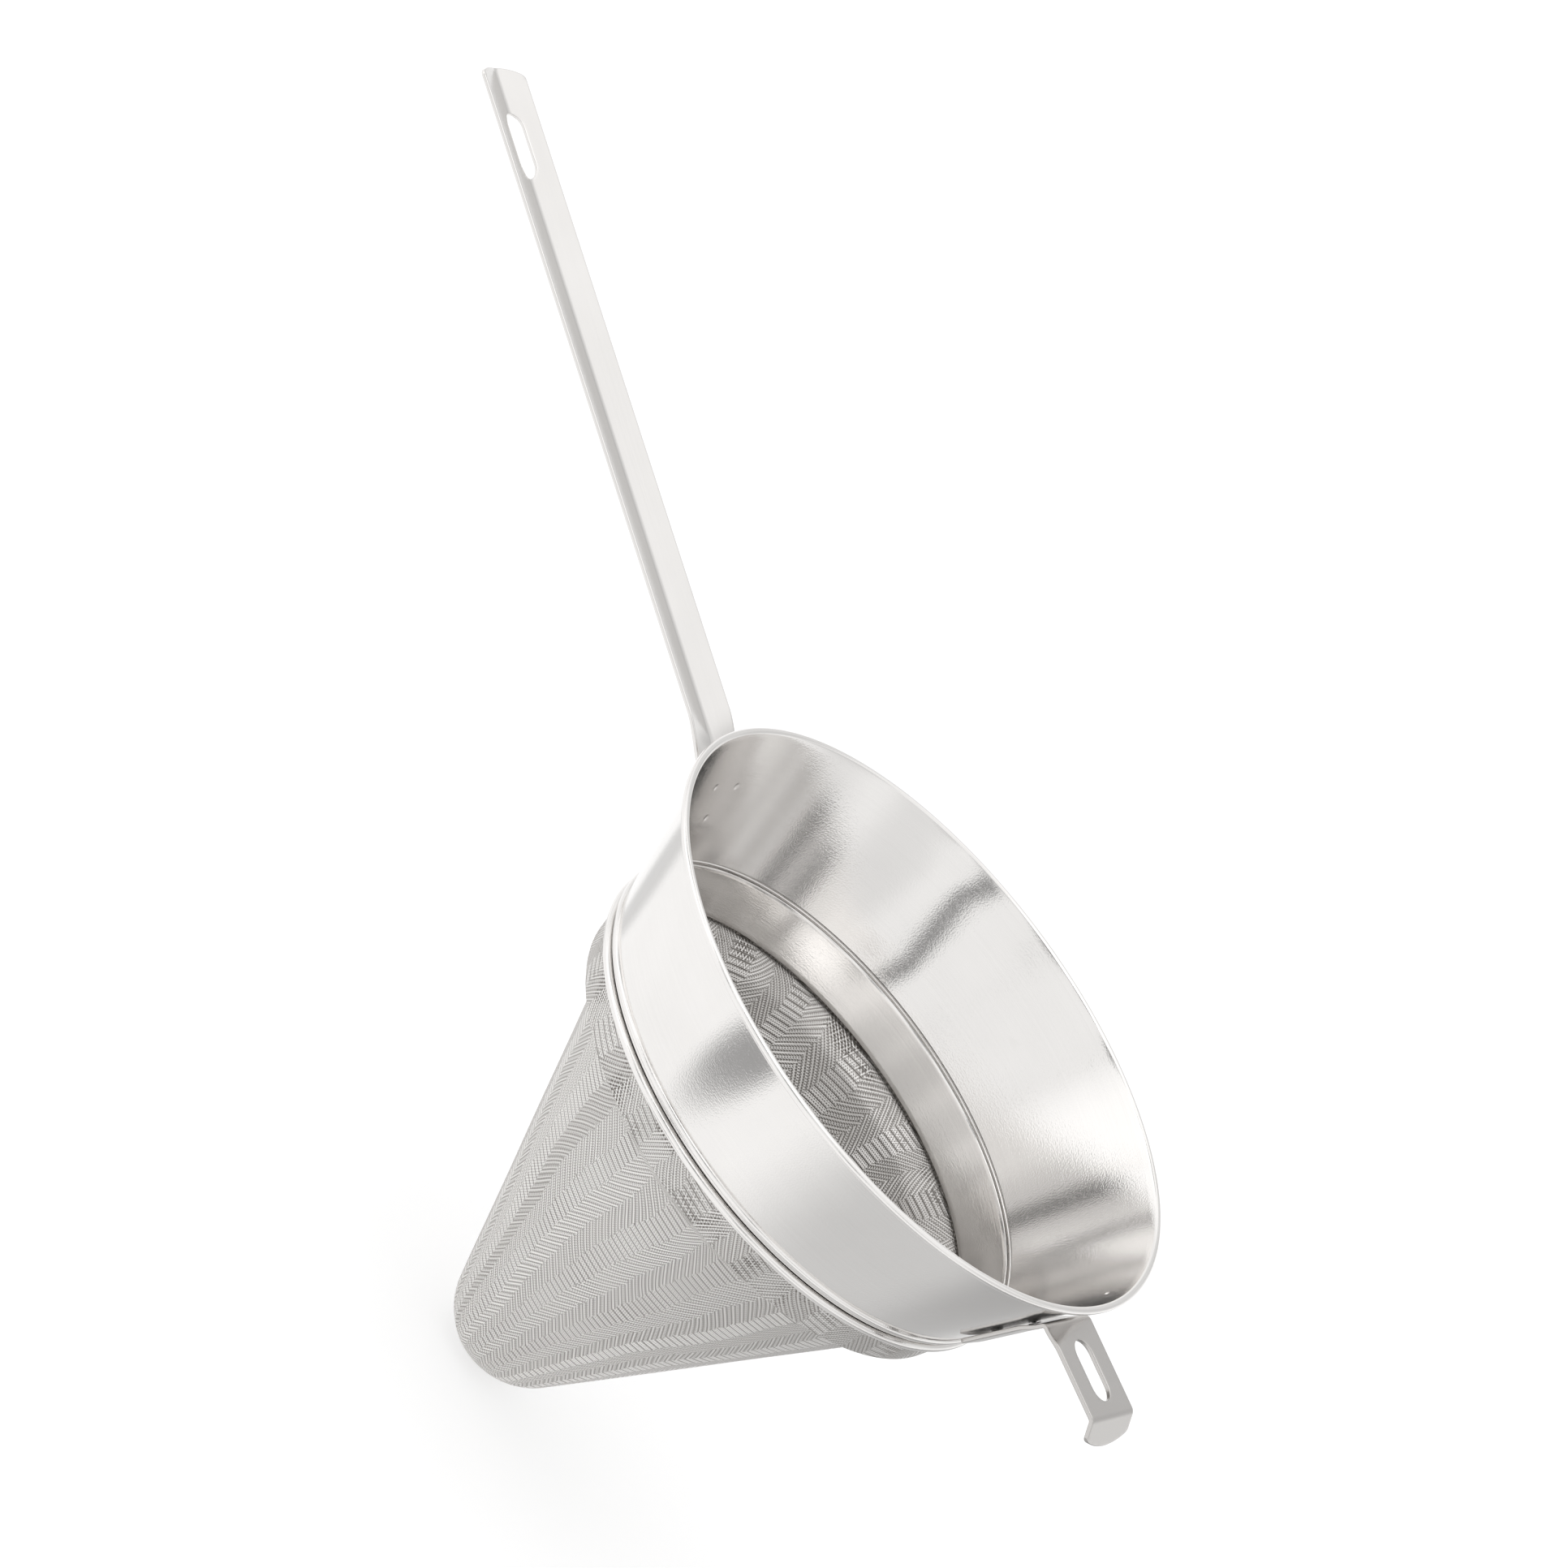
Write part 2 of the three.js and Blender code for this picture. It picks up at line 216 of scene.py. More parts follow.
class Path:
    """Line of straights and arcs in the x-z plane, found by its length."""

    def __init__(self, start, angle):
        self.parts = []
        self.at, self.angle, self.length = np.array(start, float), angle, 0.0

    def go(self, length, turn=0.0):
        self.parts.append((self.length, self.at.copy(), self.angle, turn / length))
        point, self.angle = self._on(self.parts[-1], np.array([length]))
        self.at, self.angle = point[0], float(self.angle[0])
        self.length += length
        return self

    @staticmethod
    def _on(part, s):
        _, at, angle, bend = part
        end = angle + bend * s
        if abs(bend) < 1e-9:
            step = np.stack([np.cos(angle) * s, np.sin(angle) * s], 1)
        else:
            step = np.stack([np.sin(end) - np.sin(angle), np.cos(angle) - np.cos(end)], 1) / bend
        return at + step, end

    def sample(self, u):
        point, angle = np.zeros((len(u), 2)), np.zeros(len(u))
        for i, part in enumerate(self.parts):
            last = i == len(self.parts) - 1
            mine = (u >= part[0] - (1e9 if i == 0 else 0)) & (
                np.full(len(u), last) | (u < (self.parts[i + 1][0] if not last else 0))
            )
            point[mine], angle[mine] = self._on(part, u[mine] - part[0])
        return point, angle


def slot_loop(start, length, width, steps=14):
    r = width / 2
    return [
        *arc(start + length - r, 0, r, math.pi / 2, -math.pi / 2, steps),
        *arc(start + r, 0, r, -math.pi / 2, -3 * math.pi / 2, steps),
    ]


def strip_loop(u_list, u_end, half, bulge, corner, foot_corner):
    """Outline of a strip: two rounded corners at its start, and a shallow arc between two more at
    its end."""
    radius = (half * half + bulge * bulge) / (2 * bulge)
    spread = math.asin(half / radius)
    centre = u_end + bulge - radius
    trim = corner / radius
    tip = arc(centre, 0, radius, -spread + trim * 1.6, spread - trim * 1.6, 26)
    side = [u for u in u_list if foot_corner + 0.2 < u < u_end - corner - 0.2]
    low = [(u, -half) for u in side]
    quarter = math.pi / 2
    loop = arc(foot_corner, -half + foot_corner, foot_corner, -math.pi, -quarter, 5) + low

    def blend(a, ctrl, b, n=5):
        a, ctrl, b = np.array(a), np.array(ctrl), np.array(b)
        return [
            tuple((1 - t) ** 2 * a + 2 * t * (1 - t) * ctrl + t * t * b)
            for t in np.linspace(0, 1, n + 1)
        ]

    corner_low = blend((u_end - corner, -half), (u_end, -half), tip[0])
    corner_high = blend(tip[-1], (u_end, half), (u_end - corner, half))
    loop += corner_low[:-1] + tip + corner_high[1:]
    loop += [(u, half) for u in reversed(side)]
    loop += arc(foot_corner, half - foot_corner, foot_corner, quarter, math.pi, 5)
    return loop


def inset_loop(loop, distance):
    """Loop moved into the material, which is on the left of the loop's direction."""
    pts = np.array(loop, float)
    before = pts - np.roll(pts, 1, 0)
    after = np.roll(pts, -1, 0) - pts
    n1 = np.stack([-before[:, 1], before[:, 0]], 1) / np.linalg.norm(before, axis=1)[:, None]
    n2 = np.stack([-after[:, 1], after[:, 0]], 1) / np.linalg.norm(after, axis=1)[:, None]
    mid = n1 + n2
    mid /= np.maximum((mid * n1).sum(1), 0.3)[:, None]
    return pts + mid * distance


def plate(name, loops, inside, u_list, v_list, thickness, edge, surface, sharp_angle=50):
    """Sheet-metal piece with rounded edges, cut to flat loops and laid on a surface. The outline is
    the first loop, and the holes follow."""
    quarter = math.pi / 2
    half = thickness / 2
    profile = [
        (edge - edge * math.sin(a), half - edge + edge * math.cos(a))
        for a in np.linspace(0, quarter, 4)
    ]
    profile += [(d, -w) for d, w in reversed(profile)]
    flat, edges = [], []
    for loop in loops:
        first = len(flat)
        flat += [tuple(p) for p in inset_loop(loop, edge)]
        edges += [(first + i, first + (i + 1) % len(loop)) for i in range(len(loop))]
    flat += [(u, v) for u in u_list for v in v_list if inside(u, v)]
    got = geometry.delaunay_2d_cdt([Vector(p) for p in flat], edges, [], 1, 1e-5)
    where = {source: i for i, sources in enumerate(got[3]) for source in sources}
    plan = np.array([tuple(p) for p in got[0]])
    hole, start = {}, len(loops[0])
    for number, loop in enumerate(loops[1:]):
        hole.update({where[start + i]: number for i in range(len(loop))})
        start += len(loop)
    # A triangle between three points of one hole's edge fills the hole, and is left out
    tris = [list(tri) for tri in got[2] if len({hole.get(i, -1 - i) for i in tri}) > 1]
    ring_uv, ring_w = [plan, plan], [np.full(len(plan), half), np.full(len(plan), -half)]
    faces = tris + [[i + len(plan) for i in reversed(tri)] for tri in tris]
    total = 2 * len(plan)
    start = 0
    for loop in loops:
        n = len(loop)
        rings = [[where[start + i] for i in range(n)]]
        for d, w in profile[1:-1]:
            ring_uv.append(inset_loop(loop, d))
            ring_w.append(np.full(n, w))
            rings.append(list(range(total, total + n)))
            total += n
        rings.append([where[start + i] + len(plan) for i in range(n)])
        for a, b in zip(rings, rings[1:]):
            faces += [[a[i], b[i], b[(i + 1) % n], a[(i + 1) % n]] for i in range(n)]
        start += n
    uv, w = np.concatenate(ring_uv), np.concatenate(ring_w)
    points, normals = surface(uv[:, 0], uv[:, 1])
    obj = add_object(name, points + normals * w[:, None], faces, sharp_angle)
    flow = obj.data.attributes.new("flow", "FLOAT_VECTOR", "POINT")
    flow.data.foreach_set("vector", np.column_stack([uv, w]).astype(np.float32).ravel())
    return obj


def bent_surface(path, lift=None, flip=False):
    """Middle surface of a strip along a path. lift(u, v) raises it along its normal."""

    def at(u, v):
        point, angle = path.sample(u)
        up = np.stack([-np.sin(angle), np.cos(angle)], 1)
        if lift is not None:
            point = point + up * lift(u, v)[:, None]
        out = np.stack([point[:, 0], v, point[:, 1]], 1)
        return out * np.array([-1, -1, 1]) if flip else out

    def surface(u, v):
        step = 0.02
        du = at(u + step, v) - at(u - step, v)
        dv = at(u, v + step) - at(u, v - step)
        normal = np.cross(du, dv)
        return at(u, v), normal / np.linalg.norm(normal, axis=1)[:, None]

    return surface


def smooth_step(low, high, x):
    t = np.clip((x - low) / (high - low), 0, 1)
    return t * t * (3 - 2 * t)


def spaced(start, end, step):
    return list(np.linspace(start, end, max(2, round((end - start) / step) + 1)))


# ---------------------------------------------------------------- node helpers
class Nodes:
    """Short way to write a node tree."""

    def __init__(self, tree):
        self.tree = tree
        self.tree.nodes.clear()

    def new(self, kind, **settings):
        node = self.tree.nodes.new(kind)
        for key, value in settings.items():
            setattr(node, key, value)
        return node

    def put(self, socket, value):
        if hasattr(value, "links"):
            self.tree.links.new(value, socket)
        else:
            socket.default_value = value

    def math(self, operation, *values, clamp=False):
        node = self.new("ShaderNodeMath", operation=operation, use_clamp=clamp)
        for socket, value in zip(node.inputs, values):
            self.put(socket, value)
        return node.outputs[0]

    def vector(self, x, y, z):
        node = self.new("ShaderNodeCombineXYZ")
        for socket, value in zip(node.inputs, (x, y, z)):
            self.put(socket, value)
        return node.outputs[0]

    def split(self, vector):
        node = self.new("ShaderNodeSeparateXYZ")
        self.put(node.inputs[0], vector)
        return node.outputs

    def attribute(self, name):
        return self.new("ShaderNodeAttribute", attribute_name=name).outputs["Vector"]

    def position(self):
        return self.new("ShaderNodeTexCoord").outputs["Object"]

    def scaled(self, vector, scale):
        node = self.new("ShaderNodeMapping")
        self.put(node.inputs["Vector"], vector)
        node.inputs["Scale"].default_value = scale
        return node.outputs[0]

    def noise(self, vector, scale=1.0, detail=2.0, rough=0.5):
        node = self.new("ShaderNodeTexNoise")
        self.put(node.inputs["Vector"], vector)
        node.inputs["Scale"].default_value = scale
        node.inputs["Detail"].default_value = detail
        node.inputs["Roughness"].default_value = rough
        return node.outputs[0]

    def spread(self, value, low, high, to_low, to_high, kind="LINEAR"):
        node = self.new("ShaderNodeMapRange", clamp=True, interpolation_type=kind)
        for socket, number in zip(node.inputs, (value, low, high, to_low, to_high)):
            self.put(socket, number)
        return node.outputs[0]

    def smooth(self, *values):
        return self.spread(*values, kind="SMOOTHSTEP")

    def mix(self, factor, a, b):
        node = self.new("ShaderNodeMix", data_type="RGBA")
        self.put(node.inputs[0], factor)
        self.put(node.inputs[6], a)
        self.put(node.inputs[7], b)
        return node.outputs[2]

    def bump(self, height, distance, normal=None):
        node = self.new("ShaderNodeBump")
        node.inputs["Strength"].default_value = 1.0
        node.inputs["Distance"].default_value = distance
        self.put(node.inputs["Height"], height)
        if normal is not None:
            self.put(node.inputs["Normal"], normal)
        return node.outputs[0]


def tone(level, warmth=0.016):
    return (level + warmth, level, level - warmth, 1)


def new_material(name):
    mat = bpy.data.materials.new(name)
    mat.use_nodes = True
    n = Nodes(mat.node_tree)
    return mat, n, n.new("ShaderNodeOutputMaterial")


def metal(
    name, light, dark, rough, lines, grain=0.00002, line_height=0.00001, wear=0.0, metallic=1.0
):
    """Satin steel: fine brushing along one direction, a fine rolled grain, faint cloudiness and
    rubbed places. lines(nodes) gives the stretched coordinates that the brushing runs along."""
    mat, n, out = new_material(name)
    bsdf = n.new("ShaderNodeBsdfPrincipled")
    bsdf.inputs["Metallic"].default_value = metallic
    place = n.position()
    brushing = n.noise(lines(n), 1.0, 3.0, 0.6)
    cloud = n.noise(place, 26.0, 3.0, 0.55)
    pebble = n.noise(place, 1500.0, 2.0, 0.5)
    spots = n.noise(place, 90.0, 4.0, 0.7)
    amount = n.math("ADD", n.math("MULTIPLY", brushing, 0.45), n.math("MULTIPLY", cloud, 0.55))
    colour = n.mix(n.spread(amount, 0.35, 0.65, 0.0, 1.0), tone(dark), tone(light))
    worn = n.spread(spots, 0.66, 0.8, 0.0, wear)
    colour = n.mix(worn, colour, tone(dark * 0.8))
    n.put(bsdf.inputs["Base Color"], colour)
    n.put(bsdf.inputs["Roughness"], n.spread(amount, 0.3, 0.7, rough[0], rough[1]))
    fine = n.bump(brushing, line_height)
    n.put(bsdf.inputs["Normal"], n.bump(pebble, grain, fine))
    n.put(out.inputs["Surface"], bsdf.outputs[0])
    return mat


def round_lines(n):
    """Brushing round the strainer's axis."""
    return n.scaled(n.position(), (6, 6, 2600))


def long_lines(n):
    """Brushing along a strip."""
    return n.scaled(n.attribute("flow"), (0.012, 3.2, 0.4))


def cross_lines(n):
    """Brushing across a strip."""
    return n.scaled(n.attribute("flow"), (2.4, 0.05, 0.4))


ZONES = 54  # strips of changing weave round the cone
ZONE_TYPES = 3
WIRE_PITCH = 1.05
RIB_PITCH = 3.1
ROW_PITCH = 1.55


def woven(name):
    """Pressed wire cloth. The attribute "weave" holds the zone number round the cone, the distance
    along the cone and the zone's width there, both in millimetres. The width is negative on the
    inner face."""
    mat, n, out = new_material(name)
    bsdf = n.new("ShaderNodeBsdfPrincipled")
    bsdf.inputs["Metallic"].default_value = 1.0
    around, along, signed_width = n.split(n.attribute("weave"))
    width = n.math("ABSOLUTE", signed_width)
    inner = n.math("LESS_THAN", signed_width, 0.0)
    drift = n.noise(n.scaled(n.position(), (14, 14, 9)), 1.0, 2.0, 0.5)
    ragged = n.noise(n.position(), 420.0, 1.0, 0.5)
    zone = n.math("ADD", around, n.spread(drift, 0.25, 0.75, -0.6, 0.6))
    number = n.math("FLOOR", n.math("ADD", zone, n.spread(ragged, 0.3, 0.7, -0.09, 0.09)))
    x = n.math("MULTIPLY", n.math("SUBTRACT", n.math("SUBTRACT", zone, number), 0.5), width)
    kind = n.math("MODULO", number, ZONE_TYPES)
    ribbed = n.math("LESS_THAN", kind, 0.5)
    plain = n.math("SUBTRACT", 1.0, ribbed)
    leaning = n.math("COMPARE", kind, 1.0, 0.4)
    # Rows lean one way in one zone, the other way in the next and hardly at all in a ribbed one
    lean = n.math("SUBTRACT", n.math("MULTIPLY", leaning, 2.5), 1.1)
    lean = n.math("MULTIPLY", lean, n.math("SUBTRACT", 1.0, n.math("MULTIPLY", ribbed, 0.85)))
    long = n.math("DIVIDE", 1.0, n.math("SQRT", n.math("ADD", 1.0, n.math("POWER", lean, 2.0))))
    row = n.math("MULTIPLY", n.math("ADD", along, n.math("MULTIPLY", x, lean)), long)
    step = n.math("MULTIPLY", n.math("SUBTRACT", x, n.math("MULTIPLY", along, lean)), long)

    def ridge(value, pitch, low, high):
        """1 in the grooves between rows, 0 on the rows."""
        turn = n.math("FRACT", n.math("DIVIDE", value, pitch))
        off = n.math("ABSOLUTE", n.math("SUBTRACT", turn, 0.5))
        return n.spread(off, low, high, 1.0, 0.0)

    def dots(pitch, low, high):
        """1 in the holes of a net with every other row shifted by half a step."""
        line = n.math("FLOOR", n.math("DIVIDE", row, pitch))
        shifted = n.math("ADD", step, n.math("MULTIPLY", line, pitch / 2))
        return n.math("MULTIPLY", ridge(row, pitch, low, high), ridge(shifted, pitch, low, high))

    hole = dots(WIRE_PITCH, 0.1, 0.34)
    groove = n.math("MULTIPLY", ridge(row, RIB_PITCH, 0.02, 0.13), ribbed)
    furrow = n.math("MULTIPLY", ridge(row, ROW_PITCH, 0.05, 0.34), plain)
    beaded = ridge(n.math("ADD", step, n.math("MULTIPLY", row, 0.5)), WIRE_PITCH, 0.1, 0.42)
    furrow = n.math("MULTIPLY", furrow, n.spread(beaded, 0.0, 1.0, 0.45, 1.0))
    patchy = n.noise(n.position(), 55.0, 3.0, 0.6)
    # Close below the bead the cloth is pulled open in places
    near_bead = n.smooth(along, 22.0, 36.0, 1.0, 0.0)
    pulled = n.math("MULTIPLY", near_bead, n.spread(patchy, 0.45, 0.6, 0.2, 1.0))
    open_hole = n.math("MULTIPLY", dots(ROW_PITCH, 0.12, 0.4), pulled)
    fine = n.math("MULTIPLY", hole, 0.72)
    deep = n.math("ADD", n.math("MULTIPLY", groove, 0.85), n.math("MULTIPLY", furrow, 0.82))
    shade = n.math("MAXIMUM", n.math("MAXIMUM", fine, deep), open_hole)
    shade = n.math("MULTIPLY", shade, n.spread(patchy, 0.3, 0.7, 0.8, 1.1), clamp=True)
    height = n.math("SUBTRACT", 1.0, shade)
    cloudy = n.spread(patchy, 0.35, 0.65, 0.0, 1.0)
    outside = n.mix(cloudy, tone(0.80), tone(0.88))
    # Painted shade: the cloth's inner face gets a darker base colour than its outer face.
    within = n.mix(cloudy, tone(0.58), tone(0.84))
    # Painted light: the holes on the inner face are painted bright, for the light seen through
    # them.
    within = n.mix(n.math("MULTIPLY", hole, 0.8), within, tone(0.95))
    # Painted shadow: a dark strip on the inner face just below the band's lower edge.
    within = n.mix(n.smooth(along, 17.0, 20.0, 1.0, 0.0), within, tone(0.2))
    base = n.mix(inner, outside, within)
    odd = n.math("FRACT", n.math("MULTIPLY", number, 0.387))
    base = n.mix(n.math("MULTIPLY", odd, 0.35), base, tone(0.42))
    # Painted shade: where the shade mask is high, in the holes, grooves and furrows, the colour
    # goes dark.
    n.put(bsdf.inputs["Base Color"], n.mix(shade, base, tone(0.10)))
    n.put(bsdf.inputs["Roughness"], n.spread(shade, 0.0, 1.0, 0.40, 0.7))
    n.put(bsdf.inputs["Normal"], n.bump(height, 0.0003))
    n.put(out.inputs["Surface"], bsdf.outputs[0])
    return mat


def paint(obj, mat):
    obj.data.materials.clear()
    obj.data.materials.append(mat)


def place(obj, node, slot, mat):
    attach(obj, "root")
    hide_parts(node)
    paint(obj, mat)


# ---------------------------------------------------------------- pieces
# Small pressed marks in the collar: x, y, z, radius, depth. The first ones are the spot welds.
MARKS = tuple((wall_r(z), y, z, 1.6, 0.3) for z, y in HANDLE_WELDS)
MARKS += tuple((-wall_r(z), y, z, 1.6, 0.3) for z, y in HOOK_WELDS)
MARKS += ((-119.7, -30.9, -10.8, 1.1, 0.5),)
MARK_STEPS = np.linspace(-1.1, 1.1, 9)  # finer rows and columns over a mark, in its radii
TWIST = 0.0019
TWIST_AT = (math.radians(-64.7), -31.0)  # angle and height of the twist's middle
TWIST_REACH = 20


def marks(angle, z):
    """How far the collar's sheet stands out from its even shape."""
    grow = 0.0
    for x, y, height, radius, depth in MARKS:
        across = abs(math.remainder(angle - math.atan2(y, x), TAU)) * math.hypot(x, y)
        away = math.hypot(across, z - height) / radius
        if away < 1:
            grow += depth * (1 - away * away) ** 2
    # The sheet is very slightly twisted on the side away from the camera
    along = math.remainder(angle - TWIST_AT[0], TAU) * wall_r(z)
    span = smooth_step(FOOT_Z, FOOT_Z + 14, z) * (1 - smooth_step(-16, -2, z))
    return grow + TWIST * along * (z - TWIST_AT[1]) * math.exp(-((along / TWIST_REACH) ** 2)) * span


def make_collar():
    bead_c = (FOOT_R - BEAD_INSET, FOOT_Z - 2 * BEAD_R)
    bead = arc(*bead_c, BEAD_R, -math.pi / 2, math.pi / 2, 12)
    lip = [(bead[0][0] - t * LIP * BAND_TAPER, bead[0][1] - t * LIP) for t in (1, 0.5)]
    curl = arc(*ROLL_C, ROLL_MID, math.pi - TAPER, CURL_END, 30)
    low, high = np.array(bead[-1]), np.array(curl[0])
    heights = set(np.linspace(low[1], high[1], 26)[1:-1])
    for _, _, z, radius, _ in MARKS:
        heights |= {z + t * radius for t in MARK_STEPS}
    wall = [tuple(low + (high - low) * (z - low[1]) / (high[1] - low[1])) for z in sorted(heights)]
    angles = set(even_angles(ROUND))
    for x, y, _, radius, _ in MARKS:
        middle = math.atan2(y, x) % TAU
        spread = radius / math.hypot(x, y)
        angles |= {(middle + t * spread) % TAU for t in MARK_STEPS}
    line = sheet_loop(lip + bead + wall + curl, SHEET)
    return lathe("collar_shell", line, sorted(angles), marks)


def make_rim_wire():
    return lathe("rim_core_wire", arc(*ROLL_C, WIRE_R, 0, TAU, 12)[:-1], even_angles(ROUND))


def make_band():
    low, high = BAND_LOW_Z + BAND_SHEET / 2, BAND_TOP_Z - BAND_SHEET / 2
    line = [(band_r(z, BAND_SHEET / 2), z) for z in np.linspace(low, high, 14)]
    return lathe("mesh_band", sheet_loop(line, BAND_SHEET), even_angles(ROUND))


def make_hoop():
    back = band_r(HOOP_Z, HOOP_BACK)
    out = HOOP_OUT_R - back
    front = arc(back, HOOP_Z, 1.0, -math.pi / 2, math.pi / 2, 20)
    front = [(back + (r - back) * out, HOOP_Z + (z - HOOP_Z) * HOOP_HALF) for r, z in front]
    heights = (HOOP_Z + HOOP_BACK_REACH, HOOP_Z, HOOP_Z - HOOP_BACK_REACH)
    edge = [(band_r(z, HOOP_BACK), z) for z in heights]
    return lathe("clamp_bead", front + edge, even_angles(ROUND))


def mesh_wobble(angle, z):
    """Slight unevenness of cloth pressed by hand over a former."""
    if z > MESH_TURN_Z:
        return 0.0
    grow = min(1.0, (MESH_TURN_Z - z) / 20)
    at = Vector((2.2 * math.cos(angle), 2.2 * math.sin(angle), z * 0.018))
    return MESH_UNEVEN * grow * noise.noise(at)


def make_mesh():
    skin = MESH_SKIN
    top = MESH_TOP_Z - skin / 2
    edge = [(band_r(z, MESH_FIT), z) for z in np.linspace(top, MESH_TURN_Z, 8)]
    tip_r = TIP_R - skin / 2
    tip_c = MESH_TIP_Z + TIP_R
    tip = arc(0, tip_c, tip_r, -MESH_ANGLE, -math.pi / 2, 16)
    cone_top = (tip[0][0] + (MESH_SHOULDER_Z - tip[0][1]) * math.tan(MESH_ANGLE), MESH_SHOULDER_Z)
    a, c = np.array(edge[-1]), np.array(cone_top)
    b = (a + c) / 2 + np.array([-1, 1])
    shoulder = [
        tuple((1 - t) ** 2 * a + 2 * t * (1 - t) * b + t * t * c) for t in np.linspace(0, 1, 8)
    ]
    cone = [tuple(c * (1 - t) + np.array(tip[0]) * t) for t in np.linspace(0, 1, 60)]
    line = edge + shoulder[1:] + cone[1:] + tip[1:]
    pts = np.array(line)
    tangent = np.gradient(pts, axis=0)
    tangent /= np.linalg.norm(tangent, axis=1)[:, None]
    side = np.stack([-tangent[:, 1], tangent[:, 0]], 1) * skin / 2
    left, right = pts + side, pts - side
    left[-1][0] = right[-1][0] = 0
    loop = [tuple(p) for p in left] + [tuple(p) for p in right[::-1]]
    obj = lathe("mesh_cloth", loop, even_angles(MESH_ROUND), mesh_wobble)
    steps = np.linalg.norm(np.diff(pts, axis=0), axis=1)
    run = np.concatenate([[0], np.cumsum(steps)])
    mesh = obj.data
    coords = np.empty(len(mesh.vertices) * 3, np.float32)
    mesh.vertices.foreach_get("co", coords)
    coords = coords.reshape(-1, 3) / MM
    radius = np.hypot(coords[:, 0], coords[:, 1])
    length = np.interp(-coords[:, 2], -pts[:, 1], run)
    turn = np.mod(np.arctan2(coords[:, 1], coords[:, 0]), TAU) / TAU * ZONES
    corners = np.zeros((len(mesh.loops), 3), np.float32)
    for face in mesh.polygons:
        ids = [mesh.loops[i].vertex_index for i in face.loop_indices]
        turns = turn[ids].copy()
        poles = radius[ids] < 1e-3
        if turns[~poles].max() - turns[~poles].min() > ZONES / 2:
            turns[turns < ZONES / 2] += ZONES
        turns[poles] = turns[~poles].mean()
        outward = Vector((face.center.x, face.center.y, -0.02))
        inside_face = face.normal.dot(outward) < 0
        widths = np.maximum(radius[ids], 0.5) * TAU / ZONES * (-1 if inside_face else 1)
        corners[list(face.loop_indices)] = np.column_stack([turns, length[ids], widths])
    weave = mesh.attributes.new("weave", "FLOAT_VECTOR", "CORNER")
    weave.data.foreach_set("vector", corners.ravel())
    return obj


def plate_test(length_end, half, bulge, slot_at):
    """Tells whether a flat point is well inside the strip and outside its slot."""
    width, long, start = slot_at
    radius = (half * half + bulge * bulge) / (2 * bulge)
    centre = length_end + bulge - radius

    def inside(u, v):
        if u < PLATE_MARGIN or abs(v) > half - PLATE_MARGIN:
            return False
        if u > centre and math.hypot(u - centre, v) > radius - PLATE_MARGIN:
            return False
        if u > length_end - CORNER_MARGIN and abs(v) > half - CORNER_MARGIN:
            return False
        middle = min(max(u, start + width / 2), start + long - width / 2)
        return math.hypot(u - middle, v) > width / 2 + PLATE_MARGIN

    return inside


def hug(v):
    """How far a plate's edges bend in to follow the collar."""
    return PLATE_HUG * v * v / (2 * FOOT_R)


def make_handle():
    up = (-math.sin(HANDLE_RISE), math.cos(HANDLE_RISE))
    on = np.array(HANDLE_START) - np.array(up) * HANDLE_SHEET / 2
    to_tip = np.array([math.cos(HANDLE_RISE), math.sin(HANDLE_RISE)])
    up_wall = np.array([math.sin(TAPER), math.cos(TAPER)])
    offset = SHEET / 2 + STANDOFF + HANDLE_SHEET / 2
    foot_line = np.array([wall_r(on[1], offset), on[1]])
    gap = foot_line - on
    cross = to_tip[0] * up_wall[1] - to_tip[1] * up_wall[0]
    reach = (gap[0] * up_wall[1] - gap[1] * up_wall[0]) / cross
    corner = on + to_tip * reach
    turn = math.pi / 2 - TAPER - HANDLE_RISE
    setback = HANDLE_BEND * math.tan(turn / 2)
    path = Path(corner - up_wall * HANDLE_FOOT, math.pi / 2 - TAPER)
    path.go(HANDLE_FOOT - setback).go(HANDLE_BEND * turn, -turn)
    bend_end = path.length
    arm = HANDLE_LEN - reach - setback
    path.go(arm + HANDLE_END_BULGE)
    end = bend_end + arm
    slope = TROUGH / (HANDLE_HALF - FOLD_HALF / 2)

    def lift(u, v):
        depth = smooth_step(bend_end + TROUGH_START[0], bend_end + TROUGH_START[1], u)
        side = np.abs(v)
        fold = slope * side * side / (2 * FOLD_HALF)
        bow = np.where(side < FOLD_HALF, fold, slope * (side - FOLD_HALF / 2))
        return bow * depth + hug(v) * (1 - smooth_step(HANDLE_FOOT - 12, HANDLE_FOOT - 4, u))

    u_list = spaced(0, bend_end - HANDLE_BEND * turn - 0.5, 2.5)
    u_list += spaced(bend_end - HANDLE_BEND * turn, bend_end, 0.35)
    u_list += spaced(bend_end + 0.6, end + HANDLE_END_BULGE, 1.7)
    across = {*np.linspace(-HANDLE_HALF, HANDLE_HALF, 28)}
    v_list = sorted(across | {*np.linspace(-FOLD_HALF, FOLD_HALF, 11)})
    width, long, from_end = HANG_SLOT
    slot = (width, long, end - from_end - long)
    loops = [
        strip_loop(u_list, end, HANDLE_HALF, HANDLE_END_BULGE, *HANDLE_CORNERS),
        slot_loop(slot[2], long, width),
    ]
    inside = plate_test(end, HANDLE_HALF, HANDLE_END_BULGE, slot)
    surface = bent_surface(path, lift)
    return plate(
        "handle_strip", loops, inside, u_list, v_list, HANDLE_SHEET, HANDLE_EDGE, surface
    )


